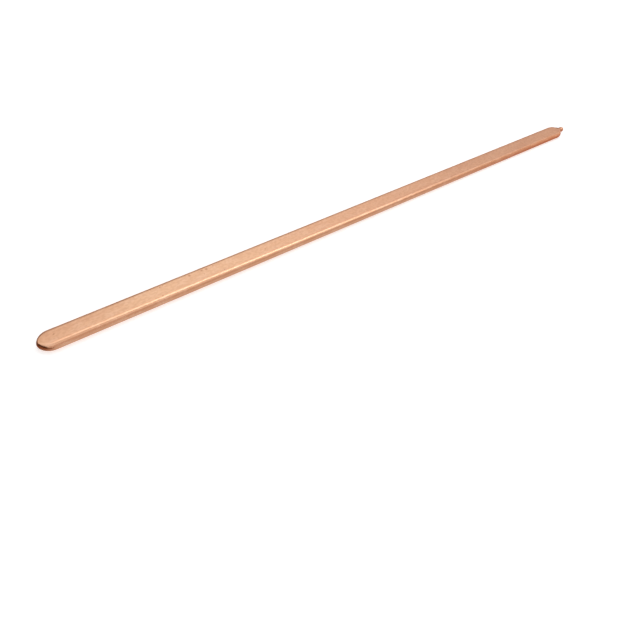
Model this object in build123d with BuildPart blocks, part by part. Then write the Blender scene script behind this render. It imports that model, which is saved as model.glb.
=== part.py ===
from build123d import *
from math import acos, degrees, pi, radians, sqrt, tan
import os

# Flat heat pipe: a sealed copper tube, pressed flat along its whole length.
#
# The pipe starts as a round tube. One end is spun shut to a dome, the other is
# swaged down to a thin fill neck and welded to a bead. It is then pressed
# between two plates, so that the round section becomes two flat lands joined by
# half-round edges. Copper doesn't stretch as it is pressed, so the outside of
# every section keeps its length: where the tube was wider, its land is wider,
# and where it was thinner than the gap between the plates it stays round.
#
# X runs along the pipe from the closed end to the fill end, Y across it, and Z
# up from the lower land. The origin is under the middle of the pipe.

os.makedirs("parts", exist_ok=True)

# ---- driving dimensions, in millimetres and degrees ----
tube_diameter = 8.0        # round tube before pressing
pressed_thickness = 4.0    # over the two lands
overall_length = 350.0     # tip of the dome to tip of the bead
dome_length = 6.0          # spun round-off of the closed end
shoulder_angle = 40.0      # slope of the land's edge towards the fill neck
shoulder_radius = 6.0      # rounding where that slope starts
neck_length = 1.1          # fill neck, from the shoulder's foot to the bead
neck_step = 0.35           # the bead stands this far proud of the neck
neck_fillet = 0.7          # hollow where the shoulder runs into the neck
bead_inset = 0.3           # the bead stays this far inside the planes of the lands
weld_fillet = 0.3          # hollow where the bead has run onto the neck

# ---- the pressed section ----
edge_radius = pressed_thickness / 2
land_half_width = pi * (tube_diameter - pressed_thickness) / 4
pressed_width = 2 * (land_half_width + edge_radius)
pipe_axis = Axis((0, 0, edge_radius), (1, 0, 0))
seen_from_above = Plane.XY.offset(edge_radius)
seen_from_side = Plane((0, 0, edge_radius), x_dir=(1, 0, 0), z_dir=(0, -1, 0))

# ---- closed end: the dome is half an ellipsoid, round only at its very tip ----
closed_tip_x = -overall_length / 2
dome_base_x = closed_tip_x + dome_length
tip_angle = degrees(acos(-sqrt(1 - (pressed_thickness / tube_diameter) ** 2)))

# ---- fill end, worked out back from the tip of the bead ----
bead_radius = edge_radius - bead_inset
neck_radius = bead_radius - neck_step
fill_tip_x = overall_length / 2
bead_x = fill_tip_x - bead_radius
bead_root_x = bead_x - sqrt(bead_radius**2 - neck_radius**2)
shoulder_foot_x = bead_root_x - neck_length
land_slope = tan(radians(shoulder_angle))
cone_slope = land_slope * 2 / pi
land_tip_x = shoulder_foot_x - (edge_radius - neck_radius) / cone_slope
shoulder_corner_x = land_tip_x - land_half_width / land_slope

with BuildPart() as flat_heat_pipe:
    # the edge of a land, from tip to tip: an arc, because the dome is an ellipsoid,
    # then a straight side, then the rounded slope of the shoulder
    with BuildLine(seen_from_above) as land_edge:
        dome_edge = EllipticalCenterArc(
            (dome_base_x, -pi * pressed_thickness / 4),
            dome_length,
            pi * tube_diameter / 4,
            start_angle=tip_angle,
            arc_size=90 - tip_angle,
        )
        FilletPolyline(
            dome_edge @ 1,
            (shoulder_corner_x, land_half_width),
            (land_tip_x, 0),
            radius=shoulder_radius,
        )

    # half of the pressed section keeps its shape and its bearing along that edge;
    # what reaches past the middle is cut off and the other half is its mirror
    with BuildSketch(Plane(dome_edge @ 0, x_dir=(0, 1, 0), z_dir=(1, 0, 0))):
        Circle(edge_radius)
        with Locations((-pressed_width / 2, 0)):
            Rectangle(pressed_width, pressed_thickness)
    sweep(path=land_edge.wire(), normal=(1, 0, 0))
    split(bisect_by=Plane.XZ, keep=Keep.BOTTOM)
    mirror(about=Plane.XZ)

    # the tip of the dome was thinner than the gap between the plates
    with BuildSketch(seen_from_side):
        with BuildLine():
            tip_arc = EllipticalCenterArc(
                (dome_base_x, 0),
                dome_length,
                tube_diameter / 2,
                start_angle=180,
                arc_size=tip_angle - 180,
            )
            Polyline(tip_arc @ 1, ((tip_arc @ 1).X, 0), tip_arc @ 0)
        make_face()
    revolve(axis=pipe_axis)

    # so were the foot of the shoulder, the fill neck and the bead that seals it
    with BuildSketch(seen_from_side):
        with BuildLine():
            FilletPolyline(
                (land_tip_x, edge_radius),
                (shoulder_foot_x, neck_radius),
                (bead_x, neck_radius),
                radius=neck_fillet,
            )
            Polyline((bead_x, neck_radius), (bead_x, 0), (land_tip_x, 0), (land_tip_x, edge_radius))
        make_face()
        with Locations((bead_x, 0)):
            Circle(bead_radius)
        split(bisect_by=Plane.XZ, keep=Keep.BOTTOM)
        bead_root = vertices().sort_by_distance((bead_root_x, neck_radius))[0]
        fillet(bead_root, radius=weld_fillet)
    revolve(axis=pipe_axis)

flat_heat_pipe.part.label = "flat_heat_pipe"
export_step(flat_heat_pipe.part, "parts/flat_heat_pipe.step")
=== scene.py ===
# %% [markdown]
# # A flat heat pipe in bright copper
# A heat pipe is a sealed copper tube with a little water inside it. The water boils
# at the hot end and condenses at the cold end, so heat runs along the pipe far
# faster than it would through solid metal. This one was pressed flat, so that it
# lies well on a chip and on a row of fins.
# The engineer's model gives the size and the place of everything. The lesson draws
# the same pipe again with more care for how light runs along it, and gives it the
# skin of drawn copper. The first cell only loads the model and reads its size.

from math import acos, asin, atan2, cos, pi, radians, sin, sqrt, tan

import bmesh
import bpy
from mathutils import Matrix, Quaternion, Vector
from mathutils import noise as soft_noise


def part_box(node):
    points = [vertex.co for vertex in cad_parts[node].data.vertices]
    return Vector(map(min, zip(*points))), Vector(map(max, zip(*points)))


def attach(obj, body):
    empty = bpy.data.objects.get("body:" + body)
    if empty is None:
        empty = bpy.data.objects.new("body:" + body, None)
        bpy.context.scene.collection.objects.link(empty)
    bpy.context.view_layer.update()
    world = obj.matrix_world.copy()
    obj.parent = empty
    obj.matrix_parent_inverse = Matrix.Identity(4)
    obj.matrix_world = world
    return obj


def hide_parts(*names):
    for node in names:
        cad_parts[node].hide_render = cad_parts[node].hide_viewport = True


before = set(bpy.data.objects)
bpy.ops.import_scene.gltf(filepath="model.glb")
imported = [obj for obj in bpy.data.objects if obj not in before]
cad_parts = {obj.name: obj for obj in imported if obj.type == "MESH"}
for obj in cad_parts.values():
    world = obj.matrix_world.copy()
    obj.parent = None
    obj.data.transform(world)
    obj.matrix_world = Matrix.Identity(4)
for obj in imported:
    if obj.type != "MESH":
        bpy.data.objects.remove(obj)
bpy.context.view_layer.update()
low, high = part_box("flat_heat_pipe")
MM = 0.001
print("the pipe is", [round(s / MM, 3) for s in high - low], "mm")

# %% [markdown]
# ## The section of a pressed pipe
# Pressing doesn't stretch copper: the skin of the flat section is as long as the
# skin of the round tube was. With that one rule the width and the thickness of the
# pipe give back the tube it was made from, and the tube gives the width of the flat
# land on its top. The box of the engineer's model supplies the two sizes, so
# nothing is typed in that could disagree with it.

# %% Work out the tube
thickness = high.z - low.z
width = high.y - low.y
edge_radius = thickness / 2
land_half_width = (width - thickness) / 2
tube_radius = edge_radius + 2 * land_half_width / pi
print("tube diameter", round(2 * tube_radius / MM, 3), "mm")
print("land", round(2 * land_half_width / MM, 3), "mm wide")

# %% [markdown]
# ## The shapes of the two ends
# The closed end was spun shut to a dome. The other end was swaged down to a thin
# neck, through which the water went in, and the neck was melted shut to a bead.
# These few sizes place both ends. The land's edge runs out towards the neck at one
# angle; on the round tube the same slope is flatter by two over pi, because a
# half-width of land is a quarter of the tube's skin.

# %% Place both ends
dome_length = 6.0 * MM
shoulder_angle = radians(40)
shoulder_radius = 6.0 * MM
neck_length = 1.1 * MM
neck_hollow = 0.7 * MM
weld_hollow = 0.3 * MM
bead_radius = edge_radius - 0.3 * MM
neck_radius = bead_radius - 0.35 * MM

squash = 2 / pi
dome_base_x = low.x + dome_length
bead_x = high.x - bead_radius
bead_root_x = bead_x - sqrt(bead_radius**2 - neck_radius**2)
shoulder_foot_x = bead_root_x - neck_length
cone_angle = atan2(squash * tan(shoulder_angle), 1)
land_tip_x = shoulder_foot_x - (edge_radius - neck_radius) / tan(cone_angle)
shoulder_corner_x = land_tip_x - land_half_width / tan(shoulder_angle)
shoulder_start_x = shoulder_corner_x - shoulder_radius * tan(shoulder_angle / 2)
print("straight for", round((shoulder_start_x - dome_base_x) / MM, 1), "mm")

# %% [markdown]
# ## The camera
# The camera is set before anything is made, so that every later test render shows
# the pipe as it will be judged. It stands close to the domed end and looks down on
# the pipe steeply, which is why the near end looks almost twice as wide as the far
# one. A camera could be aimed by a constraint, but it is turned here with
# quaternions: one aims it, and a second one rolls it a little about its own line of
# sight.

# %% Set the camera
camera_heading = radians(44.2)
camera_dip = radians(46.8)
camera_roll = radians(8.4)
camera_place = Vector((low.x - 18.7 * MM, -174.2 * MM, 187.2 * MM))
camera_lens = 33.02
sight = Vector(
    (
        sin(camera_heading) * cos(camera_dip),
        cos(camera_heading) * cos(camera_dip),
        -sin(camera_dip),
    )
)
camera_data = bpy.data.cameras.new("studio_camera")
camera_data.lens = camera_lens
camera_data.sensor_width = 36.0
camera_data.clip_start = 0.01
camera = bpy.data.objects.new("studio_camera", camera_data)
camera.location = camera_place
camera.rotation_mode = "QUATERNION"
camera.rotation_quaternion = sight.to_track_quat("-Z", "Y") @ Quaternion(
    (0, 0, 1), camera_roll
)
bpy.context.collection.objects.link(camera)
bpy.context.scene.camera = camera
print("the camera is", round(camera_place.length / MM), "mm from the middle of the pipe")

# %% [markdown]
# ## Drawing the round tube
# The pipe could be made from a flat outline, but the real one starts as a round
# tube, and so does this one: a profile is drawn from tip to tip and spun about the
# pipe's axis. A point that is extruded draws a straight run, and a point that is
# spun draws an arc, so the profile needs no list of points. It helps to think of a
# pen that remembers where it is. The pen starts at the tip of the dome.


# %% Make a pen
def run_to(bm, pen, x, radius):
    """Draws a straight run from the pen to a new point, and returns the new pen."""
    made = bmesh.ops.extrude_vert_indiv(bm, verts=[pen])
    new = made["verts"][0]
    new.co = (x, 0, radius)
    return new


def swing(bm, pen, centre_x, centre_radius, angle, steps):
    """Draws an arc about a centre, and returns the new pen and the arc's points."""
    before = set(bm.verts)
    bmesh.ops.spin(
        bm,
        geom=[pen],
        cent=(centre_x, 0, centre_radius),
        axis=(0, 1, 0),
        angle=angle,
        steps=steps,
    )
    arc = [v for v in bm.verts if v not in before]
    ends = [v for v in arc if len(v.link_edges) == 1]
    return ends[-1], arc


def stretch(bm, points, about_x, about_radius, factors):
    """Scales points about a fixed one, as when a circle is made an ellipse."""
    bmesh.ops.scale(
        bm,
        vec=factors,
        space=Matrix.Translation((-about_x, 0, -about_radius)),
        verts=points,
    )


profile = bmesh.new()
tip = profile.verts.new((dome_base_x - tube_radius, 0, 0))
print("the pen starts at", round(tip.co.x / MM, 3), "mm")

# %% [markdown]
# The dome is a quarter of a circle squeezed to its length. It is drawn as two arcs,
# so that one ring of points falls exactly where the flat land will end.

# %% Draw the dome
land_end_angle = asin(edge_radius / tube_radius)
pen, first_arc = swing(profile, tip, dome_base_x, 0, land_end_angle, steps=10)
pen, second_arc = swing(profile, pen, dome_base_x, 0, pi / 2 - land_end_angle, steps=24)
stretch(
    profile,
    [tip] + first_arc + second_arc,
    dome_base_x,
    0,
    (dome_length / tube_radius, 1, 1),
)
print("the dome ends at", round(pen.co.x / MM, 3), "mm")

# %% [markdown]
# From the dome the pen runs along the wall to the shoulder. The shoulder starts as an
# arc, which is squeezed towards the axis as the slope after it is.

# %% Draw the wall and the shoulder
wall_start = pen
pen = run_to(profile, pen, shoulder_start_x, tube_radius)
wall = profile.edges.get((wall_start, pen))
pen, shoulder_arc = swing(
    profile,
    pen,
    shoulder_start_x,
    tube_radius - shoulder_radius,
    shoulder_angle,
    steps=12,
)
stretch(profile, shoulder_arc, shoulder_start_x, tube_radius, (1, 1, squash))
pen = run_to(profile, pen, land_tip_x, edge_radius)
print("the land ends at", round(pen.co.x / MM, 3), "mm")

# %% [markdown]
# The neck has a hollow at each end: a wide one where the swaging tool left the
# shoulder, and a small one where melted copper ran onto the neck. Then the bead is
# one last arc, which ends on the axis.

# %% Draw the neck and the bead
tangent = neck_hollow * tan(cone_angle / 2)
pen = run_to(
    profile,
    pen,
    shoulder_foot_x - tangent * cos(cone_angle),
    neck_radius + tangent * sin(cone_angle),
)
neck_hollow_x = shoulder_foot_x + tangent
pen, _ = swing(profile, pen, neck_hollow_x, neck_radius + neck_hollow, -cone_angle, steps=6)
weld_angle = acos((neck_radius + weld_hollow) / (bead_radius + weld_hollow))
weld_x = bead_x - (bead_radius + weld_hollow) * sin(weld_angle)
pen = run_to(profile, pen, weld_x, neck_radius)
pen, _ = swing(profile, pen, weld_x, neck_radius + weld_hollow, -weld_angle, steps=5)
pen, _ = swing(profile, pen, bead_x, 0, pi / 2 + weld_angle, steps=16)
print("profile of", len(profile.verts), "points, up to", round(pen.co.x / MM, 3), "mm")

# %% [markdown]
# A straight wall needs no points for its shape, but smooth shading is shared out
# between points. Cutting the wall into short lengths keeps the turn of the surface
# at each end where it belongs.

# %% Spin the profile
wall_cuts = 99
ring_points = 128
bmesh.ops.subdivide_edges(profile, edges=[wall], cuts=wall_cuts)
bmesh.ops.spin(
    profile,
    geom=list(profile.verts) + list(profile.edges),
    cent=(0, 0, 0),
    axis=(1, 0, 0),
    angle=2 * pi,
    steps=ring_points,
    use_merge=True,
)
bmesh.ops.remove_doubles(profile, verts=profile.verts, dist=0.001 * MM)
bmesh.ops.recalc_face_normals(profile, faces=profile.faces)
print("round tube:", len(profile.faces), "faces")

# %% [markdown]
# The bead set from melted copper, so it isn't a perfect ball. It could be sculpted by
# hand, but smooth noise is enough at this size: it draws the bead's points in by a
# few hundredths of a millimetre. The very tip stays where it is, which keeps the
# length, and so does the root, where the neck begins.

# %% Dent the bead
bead_centre = Vector((bead_x, 0, 0))
deepest_dent = 0.12 * MM
dent_width = 1.2 * MM
tip_fade = 0.8 * MM
root_fade = 0.5 * MM
for point in profile.verts:
    past_root = point.co.x - bead_root_x
    if past_root > 0:
        from_tip = Vector((point.co.y, point.co.z)).length
        fade = min(1, from_tip / tip_fade) * min(1, past_root / root_fade)
        depth = 0.5 + 0.5 * soft_noise.noise(point.co / dent_width)
        point.co -= (point.co - bead_centre).normalized() * depth * fade * deepest_dent
print("the bead still ends at", round(max(p.co.x for p in profile.verts) / MM, 3), "mm")

# %% [markdown]
# ## Pressing the tube flat
# Now the tube goes between two plates. A lattice could squash it, but it would
# stretch the skin. Here each ring of points is wrapped round the pressed section
# with its spacing along the skin unchanged, which is the rule of the section again.
# A ring that was thinner than the gap between the plates isn't touched, so the very
# tips and the neck stay round.
# Two facts are stored with each point while they are known, for the materials to
# read: how flat it lies, and where it was on the round tube. The drawing die marked
# the copper while it was round, so a grain that is read from the old place follows
# the skin round the edges and closes up towards both ends, as the real one does.


# %% Press
def pressed(radius, turn):
    """Where a point of a round ring goes: across, up, and how flat it lies."""
    if radius <= edge_radius:
        return radius * sin(turn), radius * cos(turn), 0.0
    flat = pi * (radius - edge_radius) / 2
    along = radius * abs(turn)
    side = 1 if turn >= 0 else -1
    if along <= flat:
        return side * along, edge_radius, 1.0
    if along >= flat + pi * edge_radius:
        over = along - flat - pi * edge_radius
        return side * (flat - over), -edge_radius, 1.0
    lean = (along - flat) / edge_radius
    return side * (flat + edge_radius * sin(lean)), edge_radius * cos(lean), abs(cos(lean))


flatness = profile.verts.layers.float.new("flatness")
on_tube = profile.verts.layers.float_vector.new("on_tube")
for point in profile.verts:
    turn = atan2(point.co.y, point.co.z)
    radius = Vector((point.co.y, point.co.z)).length
    y, z, flat = pressed(radius, turn)
    point[flatness] = flat
    point[on_tube] = (
        point.co.x / MM,
        tube_radius / MM * sin(turn),
        tube_radius / MM * cos(turn),
    )
    point.co.y, point.co.z = y, z + edge_radius
for face in profile.faces:
    face.smooth = True

tube_mesh = bpy.data.meshes.new("pressed_tube")
profile.to_mesh(tube_mesh)
profile.free()
pressed_tube = bpy.data.objects.new("pressed_tube", tube_mesh)
bpy.context.collection.objects.link(pressed_tube)
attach(pressed_tube, "root")
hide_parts("flat_heat_pipe")
print("pressed to", [round(s / MM, 3) for s in pressed_tube.dimensions], "mm")

# %% [markdown]
# ## Building materials from a script
# A material is a tree of nodes. In the editor they are dragged and wired by hand;
# here one helper adds a node, sets it up and wires its inputs, and three small ones
# stand for the jobs that come up again and again: a sum, a ramp and a blend.


# %% Node helpers
def add(tree, kind, inputs=None, **settings):
    """Adds a node. An input that is given a node or a socket is wired to it."""
    node = tree.nodes.new(kind)
    for name, value in settings.items():
        setattr(node, name, value)
    for name, value in (inputs or {}).items():
        if isinstance(value, bpy.types.Node):
            value = value.outputs[0]
        if isinstance(value, bpy.types.NodeSocket):
            tree.links.new(value, node.inputs[name])
        else:
            node.inputs[name].default_value = value
    return node


def calculate(tree, operation, first, second=0.0, third=0.0):
    """One sum on numbers."""
    return add(tree, "ShaderNodeMath", {0: first, 1: second, 2: third}, operation=operation)


def ramp(tree, value, start, end, low=0.0, high=1.0):
    """Goes smoothly from low to high while the value goes from start to end."""
    limits = {"Value": value, "From Min": start, "From Max": end, "To Min": low, "To Max": high}
    return add(tree, "ShaderNodeMapRange", limits, interpolation_type="SMOOTHSTEP")


def blend(tree, amount, under, over):
    """Lays one colour over another."""
    mix = add(tree, "ShaderNodeMix", {0: amount, 6: under, 7: over}, data_type="RGBA")
    return mix.outputs[2]


print("helpers:", [helper.__name__ for helper in (add, calculate, ramp, blend)])

# %% [markdown]
# ## Drawn copper
# Bright copper that was drawn through a die is never one even colour. The wall
# carries long faint streaks, the plates of the press have rubbed the two lands paler
# and duller than the rounded edges, and handling has left pits, nicks and hair
# scratches. A picture of copper could be wrapped round the pipe, but noise is sharp
# at any distance and never repeats. Nearly all of it is read from the place on the
# round tube that was stored above, in millimetres, so every size is a real one.

# %% Start the copper
copper = bpy.data.materials.new("drawn_copper")
copper.use_nodes = True
tree = copper.node_tree
shader = tree.nodes["Principled BSDF"]
shader.inputs["Metallic"].default_value = 1.0
tube_place = add(tree, "ShaderNodeAttribute", attribute_name="on_tube").outputs["Vector"]
flat_here = add(tree, "ShaderNodeAttribute", attribute_name="flatness").outputs["Fac"]
tube_axes = add(tree, "ShaderNodeSeparateXYZ", {0: tube_place}).outputs
along_x = tube_axes["X"]


def noise(tree, size_along, size_across, detail=2.0, turned=0.0):
    """Noise with patches of a given length along the tube and width across it."""
    place = add(
        tree,
        "ShaderNodeMapping",
        {
            "Vector": tube_place,
            "Rotation": (0, 0, turned),
            "Scale": (1 / size_along, 1 / size_across, 1 / size_across),
        },
    )
    return add(
        tree, "ShaderNodeTexNoise", {"Vector": place, "Scale": 1.0, "Detail": detail}
    )


print("materials:", [m.name for m in bpy.data.materials])

# %% [markdown]
# The masks come first. A mask is a number from none to one over the surface: it
# says how much of an effect is here. Streaks are noise that is stretched about a
# hundred times as long as it is wide. The furnace that sintered the wick also
# softened the copper, so its grains grew until they can be seen: they are noise
# about a millimetre across.

# %% Streaks, mottling and grains
broad_streaks = noise(tree, 70.0, 0.9, detail=3.0)
fine_streaks = noise(tree, 30.0, 0.22)
mottling = noise(tree, 6.0, 3.0, detail=4.0)
grains = noise(tree, 1.5, 1.0, detail=1.0)
smudges = noise(tree, 40.0, 7.0, detail=3.0)
print("nodes so far:", len(tree.nodes))

# %% [markdown]
# A pit is a small dot in the middle of a cell of a Voronoi pattern, and most cells
# are given none. A hair scratch is the very crest of a noise that is drawn out thin
# and turned across the streaks.

# %% Pits and hair scratches
cells_per_mm = 0.42
cells = add(tree, "ShaderNodeTexVoronoi", {"Vector": tube_place, "Scale": cells_per_mm})
chance = add(tree, "ShaderNodeSeparateColor", {0: cells.outputs["Color"]})
pit_here = calculate(tree, "GREATER_THAN", chance.outputs["Red"], 0.62)
pit_size = ramp(tree, chance.outputs["Green"], 0.0, 1.0, 0.05, 0.14)
pit_edge = calculate(tree, "SUBTRACT", pit_size, cells.outputs["Distance"])
pits = calculate(tree, "MULTIPLY", ramp(tree, pit_edge, 0.0, 0.04), pit_here)

hairs_one = ramp(tree, noise(tree, 14.0, 0.07, turned=radians(24)), 0.70, 0.76)
hairs_two = ramp(tree, noise(tree, 9.0, 0.06, turned=radians(-41)), 0.71, 0.77)
hairs = calculate(tree, "MAXIMUM", hairs_one, hairs_two)
print("nodes so far:", len(tree.nodes))

# %% [markdown]
# Pits are scattered by chance, but a nick comes from one bad moment. This pipe was
# knocked five times along the back edge of its upper land and once near the dome.
# The dents are too shallow to need points of their own, so each is a dot in the
# material, with a place in millimetres from the domed end and from the middle, and
# a size. Its bottom reaches a third of the way out, and its side the rest.

# %% Nicks
place = add(tree, "ShaderNodeTexCoord").outputs["Object"]
nicks = 0.0
nick_bottom = 0.3
for from_end, across, size in (
    (7.3, 0.6, 0.5),
    (54.0, 2.3, 0.5),
    (68.4, 2.2, 0.8),
    (74.7, 2.4, 0.7),
    (77.0, 2.1, 0.8),
    (80.6, 2.4, 0.5),
):
    spot = (low.x + from_end * MM, across * MM, high.z)
    away = add(tree, "ShaderNodeVectorMath", {0: place, 1: spot}, operation="DISTANCE")
    nick = ramp(tree, away.outputs["Value"], size * MM, nick_bottom * size * MM)
    nicks = calculate(tree, "MAXIMUM", nick, nicks)
print("nodes so far:", len(tree.nodes))

# %% [markdown]
# The ends have marks of their own. The tools that spun the dome and swaged the
# shoulder went round the tube, so their rings follow the length and nothing else.
# They are noise in one dimension, along the pipe.

# %% Tool rings
def between(tree, start, end):
    """A mask along the pipe: none at the first place, full at the second."""
    return ramp(tree, along_x, start / MM, end / MM)


on_dome = between(tree, dome_base_x + 1.5 * MM, dome_base_x - 1.5 * MM)
on_shoulder = between(tree, shoulder_start_x - 1.0 * MM, shoulder_start_x + 2.0 * MM)
worked = calculate(tree, "MAXIMUM", on_dome, on_shoulder)
ring_noise = add(
    tree,
    "ShaderNodeTexNoise",
    {"W": along_x, "Scale": 3.2, "Detail": 3.0},
    noise_dimensions="1D",
)
rings = calculate(tree, "MULTIPLY", ring_noise, worked)
print("nodes so far:", len(tree.nodes))

# %% [markdown]
# The torch that closed the neck left the bead rough and the copper beside it
# slightly brown, and that tint fades out over a centimetre. Where the copper melted,
# the streaks of the drawing die have run away.

# %% The heat and the melted bead
melted = between(tree, bead_root_x - 0.25 * MM, bead_root_x + 0.25 * MM)
heated = calculate(
    tree,
    "MULTIPLY",
    between(tree, land_tip_x - 10.0 * MM, bead_x),
    ramp(tree, mottling, 0.25, 0.6, 0.5, 1.0),
)
lumps = noise(tree, 0.9, 0.9, detail=3.0)
still_drawn = calculate(tree, "SUBTRACT", 1.0, melted)
broad_streaks = calculate(tree, "MULTIPLY", broad_streaks, still_drawn)
fine_streaks = calculate(tree, "MULTIPLY", fine_streaks, still_drawn)
print("nodes so far:", len(tree.nodes))

# %% [markdown]
# Now the masks are used. The colours are the copper's own, as light reflects from
# it: the lands paler, the rounded edges redder, the mottling, the streaks and the
# grains a little to either side, and a dull brown in the pits and nicks.

# %% The colours of copper
edge_copper = (0.73, 0.40, 0.245, 1)
land_copper = (0.82, 0.50, 0.32, 1)
worn_copper = (0.70, 0.385, 0.25, 1)
pale_copper = (0.89, 0.60, 0.43, 1)
streak_copper = (0.66, 0.34, 0.20, 1)
grain_copper = (0.66, 0.36, 0.22, 1)
heated_copper = (0.55, 0.29, 0.20, 1)
pitted_copper = (0.44, 0.18, 0.10, 1)
print("colours from", pitted_copper, "to", pale_copper)

# %% [markdown]
# The plates of the press touch the lands and nothing else, and the flatness that was
# stored with each point tells where. The last half millimetre of each land is painted
# shade, a darker, redder band for the dark line along the land's edge; how high the
# point stood on the round tube tells where that band lies.

# %% How well the skin is rubbed, and the painted edge shade
pressed_here = ramp(tree, flat_here, 0.86, 0.995)
shade_margin = 0.5 * MM
land_edge_up = tube_radius * cos(land_half_width / tube_radius) / MM
shade_margin_up = tube_radius * cos((land_half_width - shade_margin) / tube_radius) / MM
up_or_down = calculate(tree, "ABSOLUTE", tube_axes["Z"])
# Painted shade: the land's colour is drawn back towards the darker edge colour over its last
# half millimetre.
clear_of_edge_shade = ramp(tree, up_or_down, land_edge_up, shade_margin_up, 0.4, 1.0)
land_less_edge_shade = calculate(tree, "MULTIPLY", pressed_here, clear_of_edge_shade)
print("the margin starts", round(shade_margin_up, 3), "mm up on the round tube")

# %% [markdown]
# The colours are laid over each other, from the widest effect to the smallest. They
# could be painted by hand instead, but then a pipe of another length would need a
# new painting, and the masks fit any.

# %% Colour
skin = blend(tree, land_less_edge_shade, edge_copper, land_copper)
worn = calculate(tree, "MULTIPLY", ramp(tree, smudges, 0.50, 0.72), 0.30)
skin = blend(tree, worn, skin, worn_copper)
pale = calculate(tree, "MULTIPLY", ramp(tree, mottling, 0.42, 0.68), 0.38)
skin = blend(tree, pale, skin, pale_copper)
streaked = calculate(tree, "MULTIPLY", ramp(tree, broad_streaks, 0.45, 0.75), 0.22)
skin = blend(tree, streaked, skin, streak_copper)
grained = calculate(tree, "MULTIPLY", ramp(tree, grains, 0.40, 0.62), 0.38)
skin = blend(tree, grained, skin, grain_copper)
tinted = calculate(tree, "MULTIPLY", heated, 0.30)
skin = blend(tree, tinted, skin, heated_copper)
skin = blend(tree, calculate(tree, "MULTIPLY", pits, 0.75), skin, pitted_copper)
skin = blend(tree, calculate(tree, "MULTIPLY", nicks, 0.60), skin, pitted_copper)
tree.links.new(skin, shader.inputs["Base Color"])
print("colour is read from", len(tree.links), "links")

# %% [markdown]
# Roughness is how widely the skin scatters a reflection, so it says how dull the skin
# is. The lands are satin and the edges glossier, so that the lamps draw a narrow line
# along them. Scratches, pits and the melted bead are duller than the skin round them.

# %% Roughness
edge_dullness = 0.22
land_dullness = 0.33
dullness = ramp(tree, pressed_here, 0.0, 1.0, edge_dullness, land_dullness)
dullness = calculate(tree, "MULTIPLY_ADD", mottling, 0.10, dullness)
dullness = calculate(tree, "MULTIPLY_ADD", fine_streaks, 0.06, dullness)
dullness = calculate(tree, "SUBTRACT", dullness, 0.08)
dullness = calculate(tree, "MULTIPLY_ADD", hairs, 0.08, dullness)
dullness = calculate(tree, "MULTIPLY_ADD", pits, 0.10, dullness)
dullness = calculate(tree, "MULTIPLY_ADD", melted, 0.16, dullness)
tree.links.new(dullness.outputs[0], shader.inputs["Roughness"])
print("nodes so far:", len(tree.nodes))

# %% [markdown]
# The relief is measured in thousandths of a millimetre, which is too fine for points.
# A Bump node takes the sum of the heights; its distance is in metres, and is set so
# that the heights are written in thousandths of a millimetre. The bead has more of
# it, because melted copper sets with a rough skin.

# %% Relief
relief = calculate(tree, "MULTIPLY", fine_streaks, 3.0)
relief = calculate(tree, "MULTIPLY_ADD", broad_streaks, 7.0, relief)
relief = calculate(tree, "MULTIPLY_ADD", mottling, 9.0, relief)
relief = calculate(tree, "MULTIPLY_ADD", rings, 14.0, relief)
relief = calculate(tree, "MULTIPLY_ADD", hairs, -2.0, relief)
relief = calculate(tree, "MULTIPLY_ADD", pits, -12.0, relief)
relief = calculate(tree, "MULTIPLY_ADD", nicks, -15.0, relief)
bead_lumps = calculate(tree, "MULTIPLY", lumps, melted)
relief = calculate(tree, "MULTIPLY_ADD", bead_lumps, 50.0, relief)
bump = add(tree, "ShaderNodeBump", {"Height": relief, "Strength": 1.0, "Distance": 0.001 * MM})
tree.links.new(bump.outputs[0], shader.inputs["Normal"])
pressed_tube.data.materials.append(copper)
print("drawn_copper has", len(tree.nodes), "nodes")

# %% [markdown]
# ## A white room
# Metal has no look of its own: it shows the room. This room is white. More light
# would turn the room white too, but it would wash out the copper. So the world lights
# the pipe at less than half strength, while a viewer and a shiny surface see it at
# full white. The Light Path node arranges this: it says what kind of ray is asking.


# %% The world
def seen(tree):
    """One for the rays that a viewer or a shiny surface looks along, else none."""
    path = add(tree, "ShaderNodeLightPath").outputs
    shiny = calculate(tree, "MAXIMUM", path["Is Glossy Ray"], path["Is Transmission Ray"])
    return calculate(tree, "MAXIMUM", path["Is Camera Ray"], shiny)


world = bpy.data.worlds.new("white_room")
bpy.context.scene.world = world
world.use_nodes = True
tree = world.node_tree
tree.nodes.clear()
white = (1, 1, 1, 1)
lit = add(tree, "ShaderNodeBackground", {"Color": white, "Strength": 0.45})
shown = add(tree, "ShaderNodeBackground", {"Color": white, "Strength": 1.0})
mixed = add(tree, "ShaderNodeMixShader", {0: seen(tree), 1: lit, 2: shown})
add(tree, "ShaderNodeOutputWorld", {"Surface": mixed})
print("world nodes:", len(tree.nodes))

# %% [markdown]
# The floor is a large sheet of white paper. It is a matt surface, so it keeps the
# pipe's shadow, and it also glows to the viewer and in reflections, so that it stays
# as white as the world behind it.


# %% The floor
def board(name, centre, facing, size_across, size_up):
    """A flat board that faces a point."""
    bm = bmesh.new()
    bmesh.ops.create_grid(bm, x_segments=1, y_segments=1, size=0.5)
    bmesh.ops.scale(bm, vec=(size_across, size_up, 1), verts=bm.verts)
    turn = (Vector(facing) - Vector(centre)).to_track_quat("Z", "Y").to_matrix().to_4x4()
    bmesh.ops.transform(bm, matrix=Matrix.Translation(centre) @ turn, verts=bm.verts)
    mesh = bpy.data.meshes.new(name)
    bm.to_mesh(mesh)
    bm.free()
    made = bpy.data.objects.new(name, mesh)
    bpy.context.collection.objects.link(made)
    return made


def empty_material(name):
    """A material with no nodes yet, and its tree."""
    made = bpy.data.materials.new(name)
    made.use_nodes = True
    made.node_tree.nodes.clear()
    return made, made.node_tree


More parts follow.
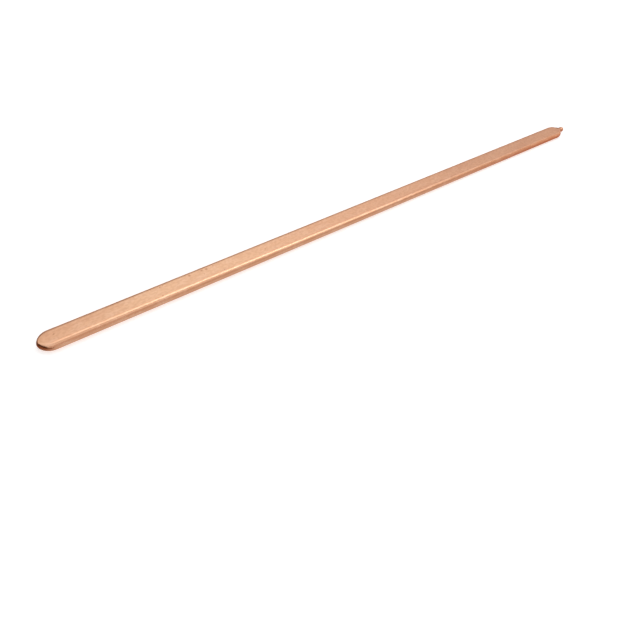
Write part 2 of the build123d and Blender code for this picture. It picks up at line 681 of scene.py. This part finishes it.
floor_size = 8.0
floor = board("floor", (0, 0, 0), (0, 0, 1), floor_size, floor_size)
paper, tree = empty_material("white_paper")
paper_glow = calculate(tree, "MULTIPLY", seen(tree), 0.59)
matt = add(tree, "ShaderNodeBsdfDiffuse", {"Color": (0.88, 0.88, 0.88, 1)})
glow = add(tree, "ShaderNodeEmission", {"Strength": paper_glow})
both = add(tree, "ShaderNodeAddShader", {0: matt, 1: glow})
add(tree, "ShaderNodeOutputMaterial", {"Surface": both})
floor.data.materials.append(paper)
print("the floor is", floor_size, "m across")

# %% [markdown]
# ## Cards for the copper to show
# In an all-white room bright metal looks flat, because every side of it shows the
# same white. In a studio, cards stand round it and cloths lie beside it. These are
# seen by shiny surfaces only: they light nothing, cast nothing and aren't in any
# picture. A card's tone may be one colour, or it may change along the room.


# %% A card
def card(name, tone, centre, facing, size_across, size_up):
    """A board that only shiny surfaces see. The tone may be a colour or a grader."""
    made = board(name, centre, facing, size_across, size_up)
    made.visible_camera = False
    made.visible_diffuse = False
    made.visible_shadow = False
    finish, tree = empty_material(name)
    colour = tone(tree) if callable(tone) else tone
    glow = add(tree, "ShaderNodeEmission", {"Color": colour, "Strength": 1.0})
    add(tree, "ShaderNodeOutputMaterial", {"Surface": glow})
    made.data.materials.append(finish)
    print(name, "is", size_across, "by", size_up, "m")


def along(first, *changes):
    """A tone that changes along X. Each change has a start, an end and a new colour."""

    def tone(tree):
        place = add(tree, "ShaderNodeTexCoord").outputs["Object"]
        across_room = add(tree, "ShaderNodeSeparateXYZ", {0: place}).outputs["X"]
        colour = first
        for start, end, after in changes:
            colour = blend(tree, ramp(tree, across_room, start, end), colour, after)
        return colour

    return tone


# %% [markdown]
# The tall card stands behind the pipe. The land shows its upper half, which is warm
# at the near end, bright in the middle and dimmer at the far end. The pipe's back
# edge shows its darker foot, as a thin dark line.


# %% The tall card
def tall(tree):
    """The grades along the tall card, and its dark foot."""
    colour = along(
        (0.87, 0.76, 0.72, 1),
        (-0.10, 0.30, (1.29, 1.39, 1.36, 1)),
        (0.34, 0.64, (1.15, 1.06, 1.04, 1)),
        (0.70, 1.80, (0.80, 0.69, 0.67, 1)),
    )(tree)
    place = add(tree, "ShaderNodeTexCoord").outputs["Object"]
    height = add(tree, "ShaderNodeSeparateXYZ", {0: place}).outputs["Z"]
    return blend(tree, ramp(tree, height, 0.82, 0.46), colour, (0.28, 0.20, 0.17, 1))


card("tall_card", tall, (0.8, 0.8, 0.9), (0.8, 0, 0.9), 4.6, 1.8)

# %% [markdown]
# The front card stands on the viewer's side, for the front edge, and the far card
# closes the room beyond the bead. A small dark card leans in front of the dome,
# which shows it as a brown crescent. It gives the nose its roundness.

# %% The front, far and nose cards
front = along((0.74, 0.62, 0.56, 1), (1.05, 1.35, (0.88, 0.56, 0.43, 1)))
far = (0.88, 0.71, 0.63, 1)
nose = (0.10, 0.05, 0.03, 1)
card("front_card", front, (0.45, -0.75, 0.36), (0.45, 0, 0.36), 2.6, 0.72)
card("far_card", far, (2.2, -0.4, 0.85), (0, -0.4, 0.85), 2.4, 1.7)
card("nose_card", nose, (-0.55, -0.10, 0.09), (-0.17, 0, 0), 0.45, 0.18)

# %% [markdown]
# Low on its front the pipe would mirror the white floor and lose its edge in it. Two
# cloths lie just above the floor to prevent that. The one at the dome is brown by
# the metal, and the long one goes from pale grey to a copper tone, as if another
# pipe lay there.

# %% The cloths
cloth_height = 0.0004
nose_cloth = along(
    (0.08, 0.03, 0.015, 1),
    (-0.185, -0.176, (0.30, 0.14, 0.08, 1)),
    (-0.177, -0.168, (0.80, 0.76, 0.74, 1)),
)
long_cloth = along((0.80, 0.76, 0.74, 1), (0.02, 0.17, (0.62, 0.34, 0.24, 1)))
card("nose_cloth", nose_cloth, (-0.365, 0, cloth_height), (-0.365, 0, 1), 0.40, 0.40)
card("long_cloth", long_cloth, (0.235, -0.2, cloth_height), (0.235, -0.2, 1), 0.80, 0.40)

# %% [markdown]
# ## Lamps
# Three soft lamps hang in a row over the pipe, a bright one between two weaker ones.
# One long lamp would be simpler, but three let the line that they draw on the
# rounded edge grow and fade along the pipe. The row is turned against the pipe, so
# that this line creeps down the edge towards the far end. The colour management is
# set to Standard, so that a colour renders as it is written.


# %% Lamps
def lamp(name, centre, turned, length, width, watts):
    """A soft rectangular lamp that shines straight down."""
    data = bpy.data.lights.new(name, "AREA")
    data.shape = "RECTANGLE"
    data.size, data.size_y, data.energy = length, width, watts
    made = bpy.data.objects.new(name, data)
    made.location = centre
    made.rotation_euler = (0, 0, turned)
    bpy.context.collection.objects.link(made)


row_turn = radians(-39)
row_height = 0.62
row_width = 0.12
lamp("near_lamp", (-0.10, 0.31, row_height), row_turn, 0.25, row_width, 0.13)
lamp("main_lamp", (0.155, 0.102, row_height), row_turn, 0.44, row_width, 0.605)
lamp("far_lamp", (0.48, -0.17, row_height), row_turn, 0.42, row_width, 0.24)
bpy.context.scene.view_settings.view_transform = "Standard"
